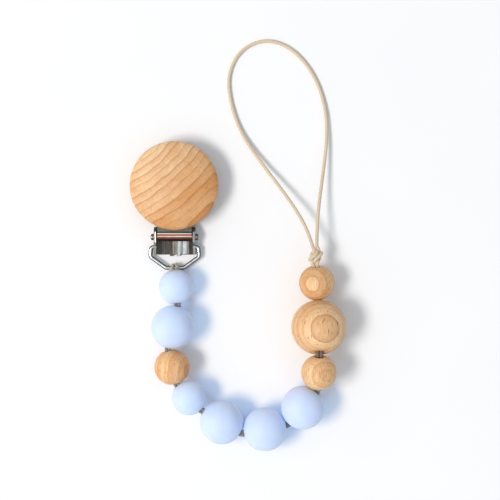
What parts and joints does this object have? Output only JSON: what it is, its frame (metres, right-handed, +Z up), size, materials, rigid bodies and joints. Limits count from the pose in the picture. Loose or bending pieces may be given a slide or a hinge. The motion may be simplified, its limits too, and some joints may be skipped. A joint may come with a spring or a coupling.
{
  "type": "pacifier clip strap",
  "caption": "Domed wooden disc clip on a wire bail, with a row of silicone and wooden beads on a doubled waxed cord that ends in a knot and a cord loop.",
  "frame": {"origin": "on the surface that the strap lies on, below the middle of the strap without its free cord loop", "axes": "+X and +Y in that surface, +Y from the low bend of the beads towards the clip and the loop, +Z up"},
  "size_m": [0.0742, 0.1425, 0.0193],
  "materials": {
    "silicone": "matte pale blue silicone",
    "beech_bead": "sanded beech, lightly waxed",
    "beech_disc": "sanded beech, oiled, slightly darker",
    "waxed_cord": "waxed cotton cord, natural tan",
    "nickel": "bright nickel plate on pressed steel",
    "jaw_plastic": "translucent white nylon"
  },
  "bodies": {
    "cord_01": {"cord_in_bead_01": "waxed_cord"},
    "bead_01": {"bead_01": "silicone"},
    "cord_02": {"cord_in_bead_02": "waxed_cord"},
    "bead_02": {"bead_02": "silicone"},
    "cord_03": {"cord_in_bead_03": "waxed_cord"},
    "bead_03": {"bead_03": "beech_bead"},
    "cord_04": {"cord_in_bead_04": "waxed_cord"},
    "bead_04": {"bead_04": "silicone"},
    "cord_05": {"cord_in_bead_05": "waxed_cord"},
    "bead_05": {"bead_05": "silicone"},
    "cord_06": {"cord_in_bead_06": "waxed_cord"},
    "bead_06": {"bead_06": "silicone"},
    "cord_07": {"cord_in_bead_07": "waxed_cord"},
    "bead_07": {"bead_07": "silicone"},
    "cord_08": {"cord_in_bead_08": "waxed_cord"},
    "bead_08": {"bead_08": "beech_bead"},
    "cord_09": {"cord_in_bead_09": "waxed_cord"},
    "bead_09": {"bead_09": "beech_bead"},
    "cord_10": {"cord_in_bead_10": "waxed_cord"},
    "bead_10": {"bead_10": "beech_bead"},
    "knot": {"knot": "waxed_cord", "cord_loop": "waxed_cord"},
    "hitch": {"cord_hitch": "waxed_cord"},
    "wire_loop": {"wire_loop": "nickel"},
    "clip_base": {"clip_base": "nickel", "hinge_pin": "nickel", "leaf_spring": "nickel", "jaw_pad": "jaw_plastic"},
    "lever": {"lever_plate": "nickel", "wood_disc": "beech_disc"}
  },
  "joints": [
    {"name": "clip_lever", "type": "hinge", "parent": "clip_base", "child": "lever", "pos_m": [-0.0218, 0.0201, 0.0034], "axis": [1, 0, 0], "range_deg": [0, 65]},
    {"name": "clip_on_wire", "type": "hinge", "parent": "wire_loop", "child": "clip_base", "pos_m": [-0.0218, 0.0166, 0.0022], "axis": [-1, 0, 0], "range_deg": [-50, 20]},
    {"name": "wire_on_cord", "type": "hinge", "parent": "hitch", "child": "wire_loop", "pos_m": [-0.0218, 0.0094, 0.00185], "axis": [-1, 0, 0], "range_deg": [-30, 5]},
    {"name": "cord_bend_00", "type": "hinge", "parent": "cord_01", "child": "hitch", "pos_m": [-0.0218, 0.009, 0.0057], "axis": [0, 0, 1], "range_deg": [-12, 20]},
    {"name": "cord_bend_01", "type": "hinge", "parent": "cord_01", "child": "cord_02", "pos_m": [-0.02051, -0.00331, 0.00744], "axis": [0, 0, 1], "range_deg": [-12, 24]},
    {"name": "cord_bend_02", "type": "hinge", "parent": "cord_02", "child": "cord_03", "pos_m": [-0.02404, -0.01861, 0.00771], "axis": [0, 0, -1], "range_deg": [-3, 54]},
    {"name": "cord_bend_03", "type": "hinge", "parent": "cord_03", "child": "cord_04", "pos_m": [-0.02101, -0.03073, 0.00728], "axis": [0, 0, 1], "range_deg": [-56, 0]},
    {"name": "cord_bend_04", "type": "hinge", "parent": "cord_04", "child": "cord_05", "pos_m": [-0.01233, -0.03972, 0.00728], "axis": [0, 0, -1], "range_deg": [-12, 46]},
    {"name": "cord_bend_05", "type": "hinge", "parent": "cord_05", "child": "cord_06", "pos_m": [0.00143, -0.04766, 0.00783], "axis": [0, 0, 1], "range_deg": [-76, 0]},
    {"name": "cord_bend_06", "type": "hinge", "parent": "cord_06", "child": "cord_07", "pos_m": [0.01742, -0.04456, 0.00726], "axis": [0, 0, -1], "range_deg": [0, 74]},
    {"name": "cord_bend_07", "type": "hinge", "parent": "cord_07", "child": "cord_08", "pos_m": [0.02758, -0.03245, 0.00977], "axis": [0, 0, 1], "range_deg": [-68, 0]},
    {"name": "cord_bend_08", "type": "hinge", "parent": "cord_08", "child": "cord_09", "pos_m": [0.02801, -0.02009, 0.01308], "axis": [0, 0, -1], "range_deg": [-8, 14]},
    {"name": "cord_bend_09", "type": "hinge", "parent": "cord_09", "child": "cord_10", "pos_m": [0.02769, -0.00175, 0.00676], "axis": [0, 0, 1], "range_deg": [-15, 10]},
    {"name": "cord_bend_10", "type": "hinge", "parent": "cord_10", "child": "knot", "pos_m": [0.02684, 0.01039, 0.00913], "axis": [0, 0, -1], "range_deg": [-18, 35]},
    {"name": "spin_bead_01", "type": "hinge", "parent": "cord_01", "child": "bead_01", "pos_m": [-0.02115, 0.00284, 0.00657], "axis": [0.1035, -0.9848, 0.1392], "continuous": true},
    {"name": "spin_bead_02", "type": "hinge", "parent": "cord_02", "child": "bead_02", "pos_m": [-0.02227, -0.01096, 0.00758], "axis": [-0.2249, -0.9742, 0.0175], "continuous": true},
    {"name": "spin_bead_03", "type": "hinge", "parent": "cord_03", "child": "bead_03", "pos_m": [-0.02253, -0.02467, 0.0075], "axis": [0.2418, -0.9697, -0.035], "continuous": true},
    {"name": "spin_bead_04", "type": "hinge", "parent": "cord_04", "child": "bead_04", "pos_m": [-0.01667, -0.03522, 0.00728], "axis": [0.6946, -0.7194, 0], "continuous": true},
    {"name": "spin_bead_05", "type": "hinge", "parent": "cord_05", "child": "bead_05", "pos_m": [-0.00545, -0.04369, 0.00756], "axis": [0.8655, -0.4997, 0.0349], "continuous": true},
    {"name": "spin_bead_06", "type": "hinge", "parent": "cord_06", "child": "bead_06", "pos_m": [0.00942, -0.04611, 0.00755], "axis": [0.981, 0.1907, -0.0349], "continuous": true},
    {"name": "spin_bead_07", "type": "hinge", "parent": "cord_07", "child": "bead_07", "pos_m": [0.0225, -0.0385, 0.00851], "axis": [0.6349, 0.7566, 0.1564], "continuous": true},
    {"name": "spin_bead_08", "type": "hinge", "parent": "cord_08", "child": "bead_08", "pos_m": [0.02779, -0.02627, 0.01142], "axis": [0.0338, 0.9653, 0.2588], "continuous": true},
    {"name": "spin_bead_09", "type": "hinge", "parent": "cord_09", "child": "bead_09", "pos_m": [0.02785, -0.01092, 0.00992], "axis": [-0.0165, 0.9454, -0.3256], "continuous": true},
    {"name": "spin_bead_10", "type": "hinge", "parent": "cord_10", "child": "bead_10", "pos_m": [0.02727, 0.00432, 0.00795], "axis": [-0.0685, 0.9792, 0.1908], "continuous": true}
  ]
}
